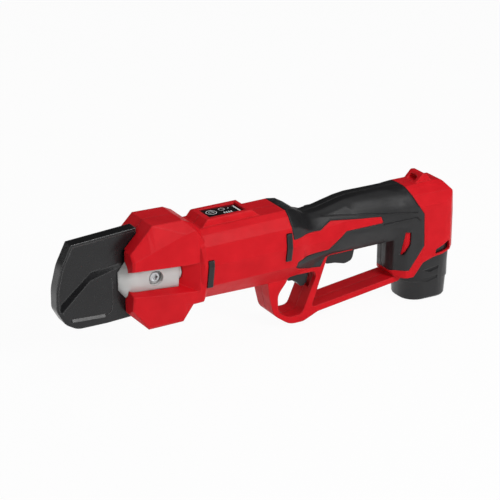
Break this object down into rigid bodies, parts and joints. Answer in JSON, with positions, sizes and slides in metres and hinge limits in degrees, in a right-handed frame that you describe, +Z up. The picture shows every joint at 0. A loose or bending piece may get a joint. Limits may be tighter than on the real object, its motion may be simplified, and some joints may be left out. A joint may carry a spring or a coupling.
{
  "type": "battery electric pruner",
  "caption": "Hand-held electric pruner with a faceted barrel housing, two-trigger grip, slide-in battery and sheathed blades driven by a ball screw.",
  "frame": {"origin": "centre of the flat base of the battery, on which the tool stands; the drive axis is 79.5 mm above it", "axes": "-X towards the blade tips, +X towards the rear end, +Z up, -Y the left side that the picture shows; the housing halves meet at Y = 0"},
  "size_m": [0.4178, 0.0678, 0.1303],
  "materials": {
    "red_housing": "satin moulded",
    "black_rubber": "fine grained overmould",
    "black_plastic": "fine textured",
    "gloss_black": "polished",
    "circuit_board": "lacquered",
    "cast_alloy": "die cast",
    "steel": "machined",
    "blade_steel": "ground",
    "copper": "lacquered windings",
    "cell_wrap": "plastic wrap"
  },
  "bodies": {
    "frame": {"control_module": "black_plastic", "display_board": "circuit_board", "display_panel": "gloss_black", "flange_screw_1": "steel", "flange_screw_2": "steel", "flange_screw_3": "steel", "flange_screw_4": "steel", "front_bearing": "steel", "gearcase": "cast_alloy", "hook_blade": "blade_steel", "hook_pin": "steel", "housing_screw_1": "steel", "housing_screw_2": "steel", "housing_screw_3": "steel", "housing_screw_4": "steel", "housing_screw_5": "steel", "housing_screw_6": "steel", "housing_screw_7": "steel", "left_front_pad": "black_rubber", "left_grip": "black_rubber", "left_housing": "red_housing", "left_rear_pad": "black_rubber", "motor_can": "steel", "motor_end_plate": "black_plastic", "nose_casting": "cast_alloy", "pivot_bolt": "steel", "pivot_nut": "steel", "pivot_washer": "blade_steel", "rear_bearing": "steel", "right_front_pad": "black_rubber", "right_grip": "black_rubber", "right_housing": "red_housing", "right_rear_pad": "black_rubber", "ring_gear": "steel", "sensor_board": "circuit_board", "stator": "copper", "terminal_block": "black_plastic", "thrust_bearing": "steel", "trigger_pin": "steel", "trigger_switch": "black_plastic"},
    "cutter": {"cutting_blade": "blade_steel"},
    "nut": {"drive_nut": "steel", "yoke_pin": "steel"},
    "screw": {"ball_screw": "steel", "planet_carrier": "steel"},
    "planet_1": {"planet_gear_1": "steel"},
    "planet_2": {"planet_gear_2": "steel"},
    "planet_3": {"planet_gear_3": "steel"},
    "rotor_body": {"rotor": "steel", "sun_gear": "steel"},
    "trigger_body": {"trigger": "black_plastic"},
    "plunger": {"switch_plunger": "black_plastic"},
    "button": {"mode_button": "gloss_black"},
    "battery": {"battery_case": "black_plastic", "battery_cell_1": "cell_wrap", "battery_cell_2": "cell_wrap", "battery_cell_3": "cell_wrap"},
    "latch_left": {"left_latch": "black_plastic"},
    "latch_right": {"right_latch": "black_plastic"},
    "sheath_body": {"sheath": "black_plastic"}
  },
  "joints": [
    {"name": "motor_spin", "type": "hinge", "parent": "frame", "child": "rotor_body", "pos_m": [-0.19, 0, 0.0795], "axis": [1, 0, 0], "range_deg": [0, 3079.2]},
    {"name": "screw_spin", "type": "hinge", "parent": "frame", "child": "screw", "pos_m": [-0.25, 0, 0.0795], "axis": [1, 0, 0], "range_deg": [0, 616]},
    {"name": "planet_1_spin", "type": "hinge", "parent": "screw", "child": "planet_1", "pos_m": [-0.2245, 0.01125, 0.0795], "axis": [1, 0, 0], "range_deg": [-1642.5, 0]},
    {"name": "planet_2_spin", "type": "hinge", "parent": "screw", "child": "planet_2", "pos_m": [-0.2245, -0.00562, 0.08924], "axis": [1, 0, 0], "range_deg": [-1642.5, 0]},
    {"name": "planet_3_spin", "type": "hinge", "parent": "screw", "child": "planet_3", "pos_m": [-0.2245, -0.00562, 0.06976], "axis": [1, 0, 0], "range_deg": [-1642.5, 0]},
    {"name": "nut_travel", "type": "slide", "parent": "frame", "child": "nut", "axis": [1, 0, 0], "range_m": [0, 0.01369]},
    {"name": "blade_open", "type": "hinge", "parent": "frame", "child": "cutter", "pos_m": [-0.297, 0, 0.0795], "axis": [0, 1, 0], "range_deg": [0, 40.01]},
    {"name": "sheath_pull_off", "type": "slide", "parent": "frame", "child": "sheath_body", "axis": [-1, 0, 0], "range_m": [0, 0.1701]},
    {"name": "trigger_pull", "type": "hinge", "parent": "frame", "child": "trigger_body", "pos_m": [-0.078, 0, 0.073], "axis": [0, 1, 0], "range_deg": [0, 6], "stiffness_Nm_per_rad": 0.3, "springref_deg": -8.59},
    {"name": "plunger_press", "type": "slide", "parent": "frame", "child": "plunger", "axis": [0, 0, 1], "range_m": [0, 0.0024]},
    {"name": "button_press", "type": "slide", "parent": "frame", "child": "button", "axis": [0, 0, -1], "range_m": [0, 0.0006], "stiffness_N_per_m": 500, "springref_m": -0.0004},
    {"name": "battery_slide", "type": "slide", "parent": "frame", "child": "battery", "axis": [0, 0, -1], "range_m": [0, 0.09]},
    {"name": "left_latch_press", "type": "slide", "parent": "battery", "child": "latch_left", "axis": [0, 1, 0], "range_m": [0, 0.001], "stiffness_N_per_m": 800, "springref_m": -0.001},
    {"name": "right_latch_press", "type": "slide", "parent": "battery", "child": "latch_right", "axis": [0, -1, 0], "range_m": [0, 0.001], "stiffness_N_per_m": 800, "springref_m": -0.001}
  ],
  "couplings": [
    {"joint": "screw_spin", "follows": "motor_spin", "ratio": 0.2},
    {"joint": "planet_1_spin", "follows": "motor_spin", "ratio": -0.53333},
    {"joint": "planet_2_spin", "follows": "motor_spin", "ratio": -0.53333},
    {"joint": "planet_3_spin", "follows": "motor_spin", "ratio": -0.53333},
    {"joint": "nut_travel", "follows": "motor_spin", "m_per_rad": 0.00025464},
    {"joint": "blade_open", "follows": "motor_spin", "ratio": 0.01299},
    {"joint": "sheath_pull_off", "follows": "motor_spin", "m_per_rad": 0.0031633},
    {"joint": "plunger_press", "follows": "trigger_pull", "m_per_rad": 0.022}
  ]
}
